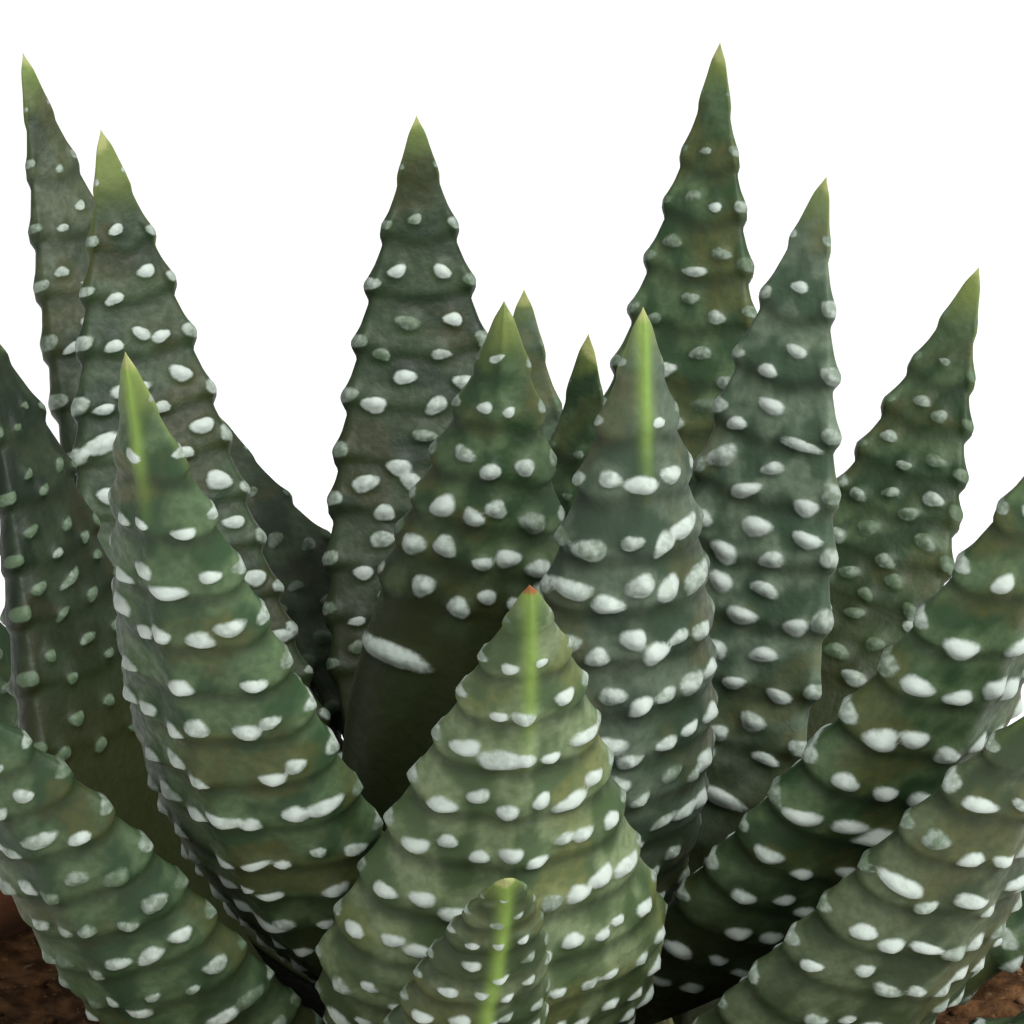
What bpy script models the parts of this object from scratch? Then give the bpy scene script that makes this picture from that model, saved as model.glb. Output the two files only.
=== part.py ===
"""Potted rosette succulent: thick keeled leaves with raised white knobs, on a short crown in a plain pot.

The origin is the centre of the pot's underside, +Z is up, and the side in the photograph faces -Y.
Each leaf is a Bezier centre line from its seat on the crown to its tip, dressed with a keeled section
that swells in cross rows, with a knob at every second corner of a row.
"""

import math
from dataclasses import dataclass

import bpy
import numpy as np

MM = 0.001
GAP = 0.3 * MM

# Pot
POT_HEIGHT = 95.0 * MM
POT_FOOT_RADIUS = 40.0 * MM
POT_NECK_RADIUS = 51.0 * MM
POT_RIM_RADIUS = 56.0 * MM
POT_MOUTH_RADIUS = 51.5 * MM
POT_RIM_HEIGHT = 17.0 * MM
POT_WALL = 3.8 * MM
POT_FLOOR = 6.0 * MM
POT_EDGE = 1.2 * MM
POT_SEGMENTS = 56

# Soil
SOIL_LEVEL = 90.0 * MM
SOIL_RELIEF = 0.8 * MM
SOIL_DIP = 1.0 * MM
SOIL_RINGS = 5
SOIL_SEGMENTS = 40
BROAD_LUMPS = 200.0
FINE_LUMPS = 330.0

# Crown, the short stem that carries the leaves
CROWN_RADIUS = 12.0 * MM
CROWN_RISE = 3.5 * MM
CROWN_DEPTH = 16.0 * MM
CROWN_SEGMENTS = 24
CROWN_BANDS = 7
CROWN_LOW_ANGLE = math.radians(106)
CROWN_CENTRE = np.array([0.0, 0.0, SOIL_LEVEL + CROWN_RISE])

# Leaf outline and section, as shares of the length and of the half width
TAPER_SHARE = 0.62
ROOT_SHARE = 0.32
ROOT_PINCH = 0.6
HANDLE_SHARE = 0.36
OUTER_DEPTH = 0.50
INNER_DEPTH = 0.12
TIP_ROUNDING = 0.30
KEEL = 0.07
CORNERS = np.radians((0, 30, 62, 90, 118, 150, 180, 225, 270, 315))
KEEL_CORNER = 3
CURVE_SAMPLES = 200

# Leaf relief
ROW_PITCH = 6.0 * MM
LEAST_ROWS = 5
RIDGE = 0.40 * MM
KNOB = 0.65 * MM
FULL_RELIEF_HALF_WIDTH = 5.0 * MM
FULL_RELIEF_SHARE = 0.25
ROOT_RELIEF = 0.3
FIRST_ROW = 0.10
LAST_ROW = 0.95

# Colours, and the angles in degrees above which an edge stays sharp
CLAY = (0.52, 0.23, 0.12)
EARTH = (0.045, 0.026, 0.017)
STEM = (0.20, 0.22, 0.10)
LEAF_GREEN = (0.075, 0.115, 0.07)
POT_SHARP = 35
CROWN_SHARP = 40
SOIL_SHARP = 50
LEAF_SHARP = 80


@dataclass(frozen=True)
class Leaf:
    """One leaf. Headings are degrees round +Z from +X, leans are degrees from the vertical, lengths are mm.

    Reach is the tip's distance from the pot's axis, and height is the tip's height above the soil.
    Roll turns the section about the centre line, in degrees. Fullness is the power of the taper to the tip:
    1 makes a straight point, and more a rounder one.
    """

    name: str
    seat_heading: float
    seat_lean: float
    tip_heading: float
    tip_lean: float
    reach: float
    height: float
    width: float
    roll: float = 0.0
    fullness: float = 1.6


LEAVES = (
    Leaf("heart_leaf_back", 95, 16, 91, 4, 15, 61, 10.5),
    Leaf("heart_leaf_right", 10, 10, 44, 6, 6, 62, 9.5, roll=30),
    Leaf("inner_leaf_left", 228, 26, 256, 2, 7, 69, 15.5, roll=10),
    Leaf("inner_leaf_back_right", 60, 33, 68, 12, 38.5, 72.5, 15.5, fullness=1.25),
    Leaf("inner_leaf_right", 8, 31, 29, 16, 24.5, 71, 13, roll=35),
    Leaf("inner_leaf_front", 288, 30, 291, 6, 21.5, 74, 15.5),
    Leaf("middle_leaf_back", 113, 43, 103, 9, 37, 66.5, 15),
    Leaf("middle_leaf_left", 159, 57, 135, 16, 45, 67, 15.5, roll=-20),
    Leaf("middle_leaf_right", 28, 52, 43, 28, 46.5, 56, 13, roll=25),
    Leaf("middle_leaf_front_right", 331, 44, 326, 18, 44.5, 69.5, 17, roll=-22),
    Leaf("middle_leaf_front_left", 222, 43, 232, 16, 43, 76.5, 16.5, roll=10),
    Leaf("middle_leaf_front", 260, 53, 270, 44, 40, 62.5, 23.5, roll=11, fullness=0.9),
    Leaf("outer_leaf_back_left", 132, 70, 128, 24, 63, 66.5, 14.5),
    Leaf("outer_leaf_left", 193, 80, 170, 29, 41, 63, 15.5, roll=-20),
    Leaf("outer_leaf_front_left", 217, 73, 217, 54, 56, 54, 14.5, roll=33),
    Leaf("outer_leaf_front_right", 316, 67, 318, 38, 51, 54, 19, roll=-16),
    Leaf("outer_leaf_front", 249, 88, 268, 60, 48, 45, 12.5, roll=14),
    Leaf("outer_leaf_far_right", 0, 70, 4, 56, 53, 30, 15.5),
    Leaf("outer_leaf_back_right", 48, 72, 52, 44, 50, 40, 15.5),
    Leaf("outer_leaf_back", 100, 58, 119, 50, 50, 39, 10.5),
    Leaf("low_leaf_back_left", 157, 86, 158, 42, 54, 44, 14),
    Leaf("low_leaf_left", 222, 90, 207, 64, 52, 18, 12),
    Leaf("low_leaf_back", 101, 86, 100, 60, 50, 24, 13),
    Leaf("low_leaf_back_right", 65, 86, 65, 60, 50, 22, 13),
    Leaf("low_leaf_right", 25, 86, 27, 64, 52, 20, 14),
    Leaf("low_leaf_front_right", 343, 86, 344, 62, 52, 20, 14),
    Leaf("low_leaf_front", 291, 86, 292, 60, 46, 17, 14),
)


def direction(heading, lean):
    """Unit vector that leans from the vertical by lean, towards heading, both in degrees."""
    heading, lean = math.radians(heading), math.radians(lean)
    return np.array([math.sin(lean) * math.cos(heading), math.sin(lean) * math.sin(heading), math.cos(lean)])


def unit(vectors):
    """The vectors along the last axis, each scaled to length 1."""
    return vectors / np.linalg.norm(vectors, axis=-1, keepdims=True)


def material(name, colour, roughness):
    """Principled material with one colour."""
    result = bpy.data.materials.new(name)
    result.use_nodes = True
    shader = result.node_tree.nodes["Principled BSDF"]
    shader.inputs["Base Color"].default_value = (*colour, 1.0)
    shader.inputs["Roughness"].default_value = roughness
    shader.inputs["Metallic"].default_value = 0.0
    return result


def add_object(name, points, faces, finish, sharp_angle):
    """Object from points and faces, shaded smooth up to sharp_angle degrees."""
    mesh = bpy.data.meshes.new(name)
    mesh.from_pydata([tuple(map(float, point)) for point in points], [], faces)
    mesh.validate()
    mesh.shade_smooth()
    mesh.set_sharp_from_angle(angle=math.radians(sharp_angle))
    mesh.materials.append(finish)
    result = bpy.data.objects.new(name, mesh)
    bpy.context.collection.objects.link(result)
    return result


def turned(profile, segments):
    """Points and faces of a solid of revolution.

    The profile is (radius, z) from the axis at the underside, round the outside, back to the axis.
    """
    points, faces, rings = [], [], []
    for radius, z in profile:
        if radius == 0.0:
            rings.append([len(points)])
            points.append((0.0, 0.0, z))
            continue
        rings.append(list(range(len(points), len(points) + segments)))
        for i in range(segments):
            angle = 2 * math.pi * i / segments
            points.append((radius * math.cos(angle), radius * math.sin(angle), z))
    for lower, upper in zip(rings, rings[1:]):
        for i in range(segments):
            j = (i + 1) % segments
            if len(lower) == 1:
                faces.append((lower[0], upper[j], upper[i]))
            elif len(upper) == 1:
                faces.append((lower[i], lower[j], upper[0]))
            else:
                faces.append((lower[i], lower[j], upper[j], upper[i]))
    return points, faces


def pot_inner_radius(z):
    """Radius of the pot's inside, which is straight from the floor to the mouth."""
    floor_radius = POT_FOOT_RADIUS - POT_WALL
    return floor_radius + (POT_MOUTH_RADIUS - floor_radius) * (z - POT_FLOOR) / (POT_HEIGHT - POT_FLOOR)


def add_pot(finish):
    """Round pot with a rim band, softened edges and a flat, closed underside."""
    band = POT_HEIGHT - POT_RIM_HEIGHT
    profile = [
        (0.0, 0.0),
        (POT_FOOT_RADIUS - POT_EDGE, 0.0),
        (POT_FOOT_RADIUS, POT_EDGE),
        (POT_NECK_RADIUS, band),
        (POT_RIM_RADIUS - POT_EDGE, band),
        (POT_RIM_RADIUS, band + POT_EDGE),
        (POT_RIM_RADIUS, POT_HEIGHT - POT_EDGE),
        (POT_RIM_RADIUS - POT_EDGE, POT_HEIGHT),
        (POT_MOUTH_RADIUS + POT_EDGE, POT_HEIGHT),
        (pot_inner_radius(POT_HEIGHT - POT_EDGE), POT_HEIGHT - POT_EDGE),
        (pot_inner_radius(POT_FLOOR), POT_FLOOR),
        (0.0, POT_FLOOR),
    ]
    points, faces = turned(profile, POT_SEGMENTS)
    return add_object("pot", points, faces, finish, POT_SHARP)


def soil_height(x, y):
    """Lumps in the soil's surface, within SOIL_RELIEF: crossed broad waves and finer slanted ones."""
    broad = math.sin(BROAD_LUMPS * x + 1.3) * math.sin(BROAD_LUMPS * y + 0.4)
    fine = math.sin(FINE_LUMPS * (x - 0.8 * y) + 2.0)
    return SOIL_RELIEF * (0.6 * broad + 0.4 * fine)


def add_soil(finish):
    """Filling of the pot with a lumpy surface and a plain hole that the crown's stem stands in."""
    hole = CROWN_RADIUS + GAP
    hole_floor = SOIL_LEVEL - CROWN_DEPTH - GAP
    underside = POT_FLOOR + GAP
    top_radius = pot_inner_radius(SOIL_LEVEL) - GAP
    surface = [
        (top_radius + (hole - top_radius) * ring / (SOIL_RINGS + 1), SOIL_LEVEL) for ring in range(SOIL_RINGS + 1)
    ]
    profile = [(0.0, underside), (pot_inner_radius(underside) - GAP, underside), *surface]
    profile += [(hole, SOIL_LEVEL - SOIL_DIP), (hole, hole_floor), (0.0, hole_floor)]
    points, faces = turned(profile, SOIL_SEGMENTS)
    first_lumpy = 1 + 2 * SOIL_SEGMENTS
    for i in range(first_lumpy, first_lumpy + SOIL_RINGS * SOIL_SEGMENTS):
        x, y, z = points[i]
        points[i] = (x, y, z + soil_height(x, y))
    return add_object("soil", points, faces, finish, SOIL_SHARP)


def add_crown(finish):
    """Short round stem with a domed top."""
    foot = SOIL_LEVEL - CROWN_DEPTH
    profile = [(0.0, foot), (CROWN_RADIUS * math.sin(CROWN_LOW_ANGLE), foot)]
    for band in range(CROWN_BANDS):
        angle = CROWN_LOW_ANGLE * (1 - band / CROWN_BANDS)
        profile.append((CROWN_RADIUS * math.sin(angle), CROWN_CENTRE[2] + CROWN_RADIUS * math.cos(angle)))
    profile.append((0.0, CROWN_CENTRE[2] + CROWN_RADIUS))
    points, faces = turned(profile, CROWN_SEGMENTS)
    return add_object("crown", points, faces, finish, CROWN_SHARP)


def tip_point(leaf):
    """The leaf's tip."""
    return leaf.reach * MM * direction(leaf.tip_heading, 90) + np.array([0, 0, SOIL_LEVEL + leaf.height * MM])


def centre_line(leaf):
    """Samples of the leaf's Bezier centre line from seat to tip, and the length run at each."""
    seat_direction = direction(leaf.seat_heading, leaf.seat_lean)
    seat = CROWN_CENTRE + (CROWN_RADIUS + GAP) * seat_direction
    tip = tip_point(leaf)
    handle = HANDLE_SHARE * np.linalg.norm(tip - seat)
    first = seat + handle * seat_direction
    second = tip - handle * direction(leaf.tip_heading, leaf.tip_lean)
    t = np.linspace(0.0, 1.0, CURVE_SAMPLES + 1)[:, None]
    curve = (1 - t) ** 3 * seat + 3 * (1 - t) ** 2 * t * first + 3 * (1 - t) * t**2 * second + t**3 * tip
    along = np.concatenate([[0.0], np.cumsum(np.linalg.norm(np.diff(curve, axis=0), axis=1))])
    return curve, along


def half_width(leaf, share):
    """Half the leaf's width at a share of its length: pinched at the seat, full, then tapered to the tip."""
    taper = np.clip((1 - share) / TAPER_SHARE, 0, 1)
    pinch = 1 - ROOT_PINCH * np.clip(1 - share / ROOT_SHARE, 0, 1) ** 2
    return 0.5 * leaf.width * MM * (1 - (1 - taper) ** leaf.fullness) * pinch


def leaf_frame(leaf, shares):
    """Centre, sideways and outward directions of the leaf at each share of its length."""
    curve, along = centre_line(leaf)
    slope = np.gradient(curve, axis=0)
    at = shares * along[-1]
    centre = np.stack([np.interp(at, along, curve[:, axis]) for axis in range(3)], axis=1)
    forward = unit(np.stack([np.interp(at, along, slope[:, axis]) for axis in range(3)], axis=1))
    heading = math.radians(leaf.tip_heading)
    level = np.array([-math.sin(heading), math.cos(heading), 0.0])
    side = unit(level - (forward @ level)[:, None] * forward)
    out = np.cross(side, forward)
    roll = math.radians(leaf.roll)
    return centre, side * math.cos(roll) - out * math.sin(roll), out * math.cos(roll) + side * math.sin(roll)


def ring_rows(length):
    """Share of the length of each ring, and its kind: 0 in a furrow, 1 on an even row, 2 on an odd row."""
    rows = max(LEAST_ROWS, round(length * (LAST_ROW - FIRST_ROW) / ROW_PITCH))
    step = (LAST_ROW - FIRST_ROW) / rows
    shares, kinds = [0.0], [0]
    for row in range(rows):
        shares += [FIRST_ROW + row * step, FIRST_ROW + (row + 0.5) * step]
        kinds += [0, 1 + row % 2]
    return np.array([*shares, LAST_ROW]), [*kinds, 0]


def ring_offsets(half, share, kind):
    """Sideways and outward offsets of one ring's corners: the keeled section, swollen on a row."""
    depth = np.where(np.sin(CORNERS) > 0, OUTER_DEPTH, INNER_DEPTH) * (1 + TIP_ROUNDING * share)
    keel = np.zeros(len(CORNERS))
    keel[KEEL_CORNER] = KEEL
    across = half * np.cos(CORNERS)
    outward = half * (depth * np.sin(CORNERS) + keel)
    if kind == 0:
        return across, outward
    raised = (np.arange(len(CORNERS)) + kind) % 2
    narrow = min(1.0, half / FULL_RELIEF_HALF_WIDTH)
    low = min(1.0, max(ROOT_RELIEF, share / FULL_RELIEF_SHARE))
    swell = (RIDGE + KNOB * raised) * narrow * low
    away = unit(np.stack([np.cos(CORNERS) * OUTER_DEPTH, np.sin(CORNERS)], axis=1))
    return across + swell * away[:, 0], outward + swell * away[:, 1]


def add_leaf(leaf, finish):
    """Leaf with a flat inner face and a keeled outer one, in ridged rows with a knob at every second corner."""
    shares, kinds = ring_rows(centre_line(leaf)[1][-1])
    centre, side, out = leaf_frame(leaf, shares)
    half = half_width(leaf, shares)
    count, rings = len(CORNERS), len(shares)
    points = []
    for i in range(rings):
        across, outward = ring_offsets(half[i], shares[i], kinds[i])
        points += list(centre[i] + across[:, None] * side[i] + outward[:, None] * out[i])
    points.append(tip_point(leaf))
    faces = [tuple(range(count))]
    for ring in range(rings - 1):
        for i in range(count):
            here, following = ring * count + i, ring * count + (i + 1) % count
            faces.append((here, here + count, following + count, following))
    last = (rings - 1) * count
    faces += [(last + i, len(points) - 1, last + (i + 1) % count) for i in range(count)]
    return add_object(leaf.name, points, faces, finish, LEAF_SHARP)


def main():
    """Build the pot, soil, crown and leaves."""
    for existing in list(bpy.data.objects):
        bpy.data.objects.remove(existing, do_unlink=True)
    add_pot(material("terracotta", CLAY, 0.85))
    add_soil(material("potting_soil", EARTH, 0.95))
    add_crown(material("crown_flesh", STEM, 0.7))
    leaf_green = material("leaf_green", LEAF_GREEN, 0.45)
    for leaf in LEAVES:
        add_leaf(leaf, leaf_green)


main()
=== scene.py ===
"""Looks of a potted gasteria: finely knobbed leaf skins, lumpy soil, a turned clay pot and a plain studio.

Everything is in metres in the frame's own axes: the origin is the centre of the pot's underside, +Z is up,
and the side in the photograph faces -Y. Each leaf skin follows the centre line and keeled section of the
solid that it replaces, and adds rows of small white knobs on low ridges.
"""

import logging
import math
from dataclasses import dataclass, replace
from enum import Enum

import bpy
import numpy as np
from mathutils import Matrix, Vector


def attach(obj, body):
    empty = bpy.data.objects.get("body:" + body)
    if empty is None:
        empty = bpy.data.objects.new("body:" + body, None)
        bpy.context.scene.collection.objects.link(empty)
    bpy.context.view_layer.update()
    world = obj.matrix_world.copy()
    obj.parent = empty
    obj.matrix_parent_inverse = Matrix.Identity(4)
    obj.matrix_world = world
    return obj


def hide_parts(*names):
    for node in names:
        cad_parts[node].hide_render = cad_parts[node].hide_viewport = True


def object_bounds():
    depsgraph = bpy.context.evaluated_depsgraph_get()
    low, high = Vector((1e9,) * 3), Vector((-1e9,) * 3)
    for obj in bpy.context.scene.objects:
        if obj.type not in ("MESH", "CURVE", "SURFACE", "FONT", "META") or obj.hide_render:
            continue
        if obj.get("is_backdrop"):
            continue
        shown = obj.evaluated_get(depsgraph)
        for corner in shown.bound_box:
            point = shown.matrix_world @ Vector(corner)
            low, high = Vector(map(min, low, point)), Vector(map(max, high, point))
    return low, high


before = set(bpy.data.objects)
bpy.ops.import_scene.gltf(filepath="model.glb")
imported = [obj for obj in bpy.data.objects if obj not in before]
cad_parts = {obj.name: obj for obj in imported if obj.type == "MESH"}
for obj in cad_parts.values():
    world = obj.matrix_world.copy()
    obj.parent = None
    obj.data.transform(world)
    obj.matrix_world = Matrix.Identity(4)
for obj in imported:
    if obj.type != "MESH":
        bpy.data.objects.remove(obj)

log = logging.getLogger("gasteria")

MM = 0.001
GAP = 0.3 * MM

# Shared with the solids: soil, crown and the leaves' outline
SOIL_LEVEL = 90.0 * MM
CROWN_RADIUS = 12.0 * MM
CROWN_RISE = 3.5 * MM
CROWN_DEPTH = 16.0 * MM
CROWN_CENTRE = np.array([0.0, 0.0, SOIL_LEVEL + CROWN_RISE])
TAPER_SHARE = 0.62
ROOT_SHARE = 0.32
ROOT_PINCH = 0.6
HANDLE_SHARE = 0.36
OUTER_DEPTH = 0.50
INNER_DEPTH = 0.12
TIP_ROUNDING = 0.30
CURVE_SAMPLES = 200

Colour = Place = tuple[float, float, float]
Array = np.ndarray
Socket = bpy.types.NodeSocket


class Face(Enum):
    """The face of a leaf that the photograph shows, which gets the finer mesh."""

    OUTER = "outer"
    INNER = "inner"
    HIDDEN = "hidden"


OUTER, INNER = Face.OUTER, Face.INNER


class Tone(Enum):
    """The green of a leaf."""

    GREY = "grey"
    DEEP = "deep"
    OLIVE = "olive"


class Point(Enum):
    """The colour of a leaf's very tip."""

    PALE = "pale"
    RUSTY = "rusty"


@dataclass(frozen=True)
class Leaf:
    """One leaf. Headings are degrees round +Z from +X, leans are degrees from the vertical, lengths are mm.

    Reach is the tip's distance from the pot's axis, and height its height above the soil. Roll turns the
    section about the centre line, in degrees. Fullness is the power of the taper to the tip: 1 makes a
    straight point, and more a rounder one. Pitch and gap are the knobs' spacing along and across the outer
    face, size multiplies the knobs' size, and bars is the chance that a knob joins its neighbour as a bar.
    Bare is the share of the length below the lowest row, and also sets how far up the painted shade at the
    root reaches. Chalk is how white the knobs are: partly their own whiteness, partly painted shade. Stripe
    is the length of the bright line down the keel from the tip, glow sets the length of the yellowish tip,
    and shade
    multiplies the brightness of the green: partly the leaf's own tone, partly painted light and shade. Long
    bar adds one wide white bar low on the outer face.
    """

    name: str
    seat_heading: float
    seat_lean: float
    tip_heading: float
    tip_lean: float
    reach: float
    height: float
    width: float
    roll: float = 0.0
    fullness: float = 1.6
    face: Face = Face.HIDDEN
    tone: Tone = Tone.DEEP
    point: Point = Point.PALE
    pitch: float = 4.2
    gap: float = 2.5
    size: float = 1.0
    bars: float = 0.10
    bare: float = 0.08
    # How white the knobs are: partly their own whiteness, partly painted shade
    chalk_and_shade: float = 0.75
    stripe: float = 8.0
    glow: float = 3.6
    # Brightness of the green: partly the leaf's own tone, partly painted light and shade
    shade: float = 0.8
    long_bar: bool = False


LEAVES = (
    Leaf("heart_leaf_back", 95, 16, 91, 4, 15, 61, 10.5, face=INNER, tone=Tone.GREY, size=0.75, chalk_and_shade=0.3,
         bare=0.4, glow=2.5, shade=1.0),
    Leaf("heart_leaf_right", 10, 10, 44, 6, 6, 62, 9.5, roll=30, face=INNER, size=0.7, chalk_and_shade=0.2, glow=2.0,
         shade=0.7),
    Leaf("inner_leaf_left", 228, 26, 256, 2, 7, 69, 15.5, roll=10, face=OUTER, pitch=3.1, gap=2.2,
         bare=0.58, stripe=0.0, shade=0.9, long_bar=True),
    Leaf("inner_leaf_back_right", 60, 33, 68, 12, 38.5, 72.5, 15.5, fullness=1.25, face=INNER, pitch=3.8,
         size=0.95, bare=0.2, chalk_and_shade=0.45, shade=0.92),
    Leaf("inner_leaf_right", 8, 31, 29, 16, 24.5, 71, 13, roll=35, face=INNER, tone=Tone.GREY, size=1.2,
         chalk_and_shade=0.95, shade=1.1),
    Leaf("inner_leaf_front", 288, 30, 291, 6, 21.5, 74, 15.5, face=OUTER, tone=Tone.GREY, pitch=3.7,
         gap=2.2, bars=0.2, size=1.1, chalk_and_shade=0.7, stripe=11.0, shade=0.76),
    Leaf("middle_leaf_back", 113, 43, 103, 9, 37, 66.5, 15, face=INNER, pitch=3.9, bare=0.28, chalk_and_shade=0.7,
         shade=0.43),
    Leaf("middle_leaf_left", 159, 57, 135, 16, 45, 67, 15.5, roll=-20, face=INNER, pitch=3.8, bare=0.22,
         chalk_and_shade=0.95, glow=5.5, shade=0.52),
    Leaf("middle_leaf_right", 28, 52, 43, 28, 46.5, 56, 13, roll=25, face=INNER, pitch=3.2, size=0.95,
         chalk_and_shade=0.25, bare=0.42, glow=4.5, shade=0.7),
    Leaf("middle_leaf_front_right", 331, 44, 326, 18, 44.5, 69.5, 17, roll=-22, face=OUTER, pitch=4.4,
         gap=2.6, size=1.2, bars=0.2, chalk_and_shade=1.0, stripe=0.0, shade=0.95),
    Leaf("middle_leaf_front_left", 222, 43, 232, 16, 43, 76.5, 16.5, roll=10, face=OUTER, pitch=4.1,
         gap=2.35, bars=0.15, chalk_and_shade=0.9, stripe=10.0, glow=4.5, shade=0.95),
    Leaf("middle_leaf_front", 260, 53, 270, 44, 40, 62.5, 23.5, roll=11, fullness=0.9, face=OUTER,
         tone=Tone.OLIVE, point=Point.RUSTY, pitch=4.0, gap=2.15, chalk_and_shade=0.95, stripe=16.0, glow=3.0,
         shade=1.25),
    Leaf("outer_leaf_back_left", 132, 70, 128, 24, 63, 66.5, 14.5, face=INNER, tone=Tone.OLIVE, size=0.9,
         chalk_and_shade=0.7, shade=0.46),
    Leaf("outer_leaf_left", 193, 80, 170, 29, 41, 63, 15.5, roll=-20, face=INNER, size=0.8, chalk_and_shade=0.05,
         bare=0.5, shade=0.27),
    Leaf("outer_leaf_front_left", 217, 73, 217, 54, 56, 54, 14.5, roll=33, face=OUTER, pitch=3.8, gap=2.3,
         size=0.92, bars=0.2, chalk_and_shade=0.5, stripe=0.0),
    Leaf("outer_leaf_front_right", 316, 67, 318, 38, 51, 54, 19, roll=-16, face=OUTER, tone=Tone.OLIVE,
         pitch=4.1, gap=2.3, chalk_and_shade=0.7, stripe=0.0, shade=0.64),
    Leaf("outer_leaf_front", 249, 88, 268, 60, 48, 45, 12.5, roll=14, face=OUTER, tone=Tone.OLIVE,
         pitch=2.9, gap=1.9, size=0.8, chalk_and_shade=0.7, stripe=34.0),
    Leaf("outer_leaf_far_right", 0, 70, 4, 56, 53, 30, 15.5),
    Leaf("outer_leaf_back_right", 48, 72, 52, 44, 50, 40, 15.5),
    Leaf("outer_leaf_back", 100, 58, 119, 50, 50, 39, 10.5, face=INNER, bare=0.3, chalk_and_shade=0.15, glow=0.5,
         shade=0.5),
    Leaf("low_leaf_back_left", 157, 86, 158, 42, 54, 44, 14, face=INNER, size=0.8, chalk_and_shade=0.2, bare=0.35),
    Leaf("low_leaf_left", 222, 90, 207, 64, 52, 18, 12),
    Leaf("low_leaf_back", 101, 86, 100, 60, 50, 24, 13),
    Leaf("low_leaf_back_right", 65, 86, 65, 60, 50, 22, 13),
    Leaf("low_leaf_right", 25, 86, 27, 64, 52, 20, 14),
    Leaf("low_leaf_front_right", 343, 86, 344, 62, 52, 20, 14),
    Leaf("low_leaf_front", 291, 86, 292, 60, 46, 17, 14),
)


def direction(heading: float, lean: float) -> Array:
    """Unit vector that leans from the vertical by lean, towards heading, both in degrees."""
    heading, lean = math.radians(heading), math.radians(lean)
    return np.array([math.sin(lean) * math.cos(heading), math.sin(lean) * math.sin(heading), math.cos(lean)])


def unit(vectors: Array) -> Array:
    """The vectors along the last axis, each scaled to length 1."""
    return vectors / np.linalg.norm(vectors, axis=-1, keepdims=True)


def smooth_step(values: Array, low: float, high: float) -> Array:
    """3x^2 - 2x^3 of the values' place x between low and high, kept within 0 to 1. High may be below low."""
    place = np.clip((values - low) / (high - low), 0.0, 1.0)
    return place * place * (3.0 - 2.0 * place)


def running(steps: Array) -> Array:
    """Running total of the steps, from 0."""
    return np.concatenate([[0.0], np.cumsum(steps)])


def waves(points: Array, scale: float, seed: int, octaves: int = 4) -> Array:
    """Smooth irregular field: sine waves in seeded directions, each octave twice as fine and half as high.

    Args:
        points: Places (..., 3) in metres.
        scale: Waves per metre of the broadest octave, in radians.
        seed: Picks the directions and phases.
        octaves: Number of octaves.

    Returns:
        Values of about -1 to 1, one for each point.
    """
    draw = np.random.default_rng(seed)
    total = np.zeros(points.shape[:-1])
    reach = 0.0
    for octave in range(octaves):
        for _ in range(3):
            axis = unit(draw.normal(size=3))
            total += 0.5**octave * np.sin(points @ axis * scale * 2**octave + draw.uniform(0, 2 * math.pi))
        reach += 1.8 * 0.5**octave
    return total / reach


class Material:
    """A Principled material under construction. Each method that adds nodes returns an output socket."""

    def __init__(self, name: str) -> None:
        """Start the material with its shader and Object coordinates.

        Args:
            name: The material's name.
        """
        self.result = bpy.data.materials.new(name)
        self.result.use_nodes = True
        self.tree = self.result.node_tree
        self.shader = self.tree.nodes["Principled BSDF"]
        self.place = self.add("TexCoord", "Object", {})

    def add(self, kind: str, output: str | int, inputs: dict[str | int, object], **settings: str) -> Socket:
        """Add a node.

        Args:
            kind: The node's type after ShaderNode.
            output: Which of its outputs is wanted.
            inputs: Value or socket for each input.
            settings: Its attributes.

        Returns:
            That output.
        """
        node = self.tree.nodes.new("ShaderNode" + kind)
        for name, value in settings.items():
            setattr(node, name, value)
        for key, value in inputs.items():
            self.feed(node.inputs[key], value)
        return node.outputs[output]

    def feed(self, socket: Socket, value: object) -> None:
        """Link the value into the socket if it is a socket, or else set it there.

        Args:
            socket: The input.
            value: Socket, colour or number.
        """
        if isinstance(value, Socket):
            self.tree.links.new(value, socket)
        elif isinstance(value, tuple) and socket.type == "RGBA":
            socket.default_value = (*value, 1.0)
        else:
            socket.default_value = value

    def set(self, **values: object) -> None:
        """Set or link the shader's inputs, named with underscores for spaces."""
        for name, value in values.items():
            self.feed(self.shader.inputs[name.replace("_", " ").title().replace("Ior", "IOR")], value)

    def noise(self, scale: float, detail: float = 2.0, stretch: Place | None = None) -> Socket:
        """Noise on Object coordinates.

        Args:
            scale: Its fineness.
            detail: Its octaves.
            stretch: Multiplies the coordinates along each axis.

        Returns:
            Its value.
        """
        place = self.place
        if stretch is not None:
            place = self.add("Mapping", "Vector", {"Vector": place, "Scale": stretch})
        return self.add("TexNoise", "Fac", {"Vector": place, "Scale": scale, "Detail": detail})

    def attribute(self, name: str) -> Socket:
        """The mesh's own value of that name."""
        return self.add("Attribute", "Fac", {}, attribute_name=name)

    def ramp(self, value: Socket, low: float, high: float, top: float = 1.0) -> Socket:
        """Smooth step from 0 to top as the value goes from low to high."""
        inputs = {"Value": value, "From Min": low, "From Max": high, "To Max": top}
        return self.add("MapRange", "Result", inputs, interpolation_type="SMOOTHSTEP")

    def maths(self, operation: str, first: object, second: object) -> Socket:
        """The operation on two numbers or sockets."""
        return self.add("Math", 0, {0: first, 1: second}, operation=operation)

    def mix(self, share: object, first: object, second: object) -> Socket:
        """The first colour, with that share of the second one mixed in."""
        # The node's colour sockets are inputs 6 and 7 and output 2
        return self.add("Mix", 2, {0: share, 6: first, 7: second}, data_type="RGBA")

    def bump(self, height: Socket, depth: float, strength: float, under: Socket | None = None) -> Socket:
        """Normal from a height.

        Args:
            height: Values between 0 and 1.
            depth: What a height of 1 stands for, in metres.
            strength: Share of the bump that shows.
            under: Normal that it is laid on.

        Returns:
            The normal.
        """
        inputs = {"Height": height, "Distance": depth, "Strength": strength}
        if under is not None:
            inputs["Normal"] = under
        return self.add("Bump", "Normal", inputs)


POINTS = {Point.PALE: (0.25, 0.27, 0.10), Point.RUSTY: (0.20, 0.070, 0.018)}


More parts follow.
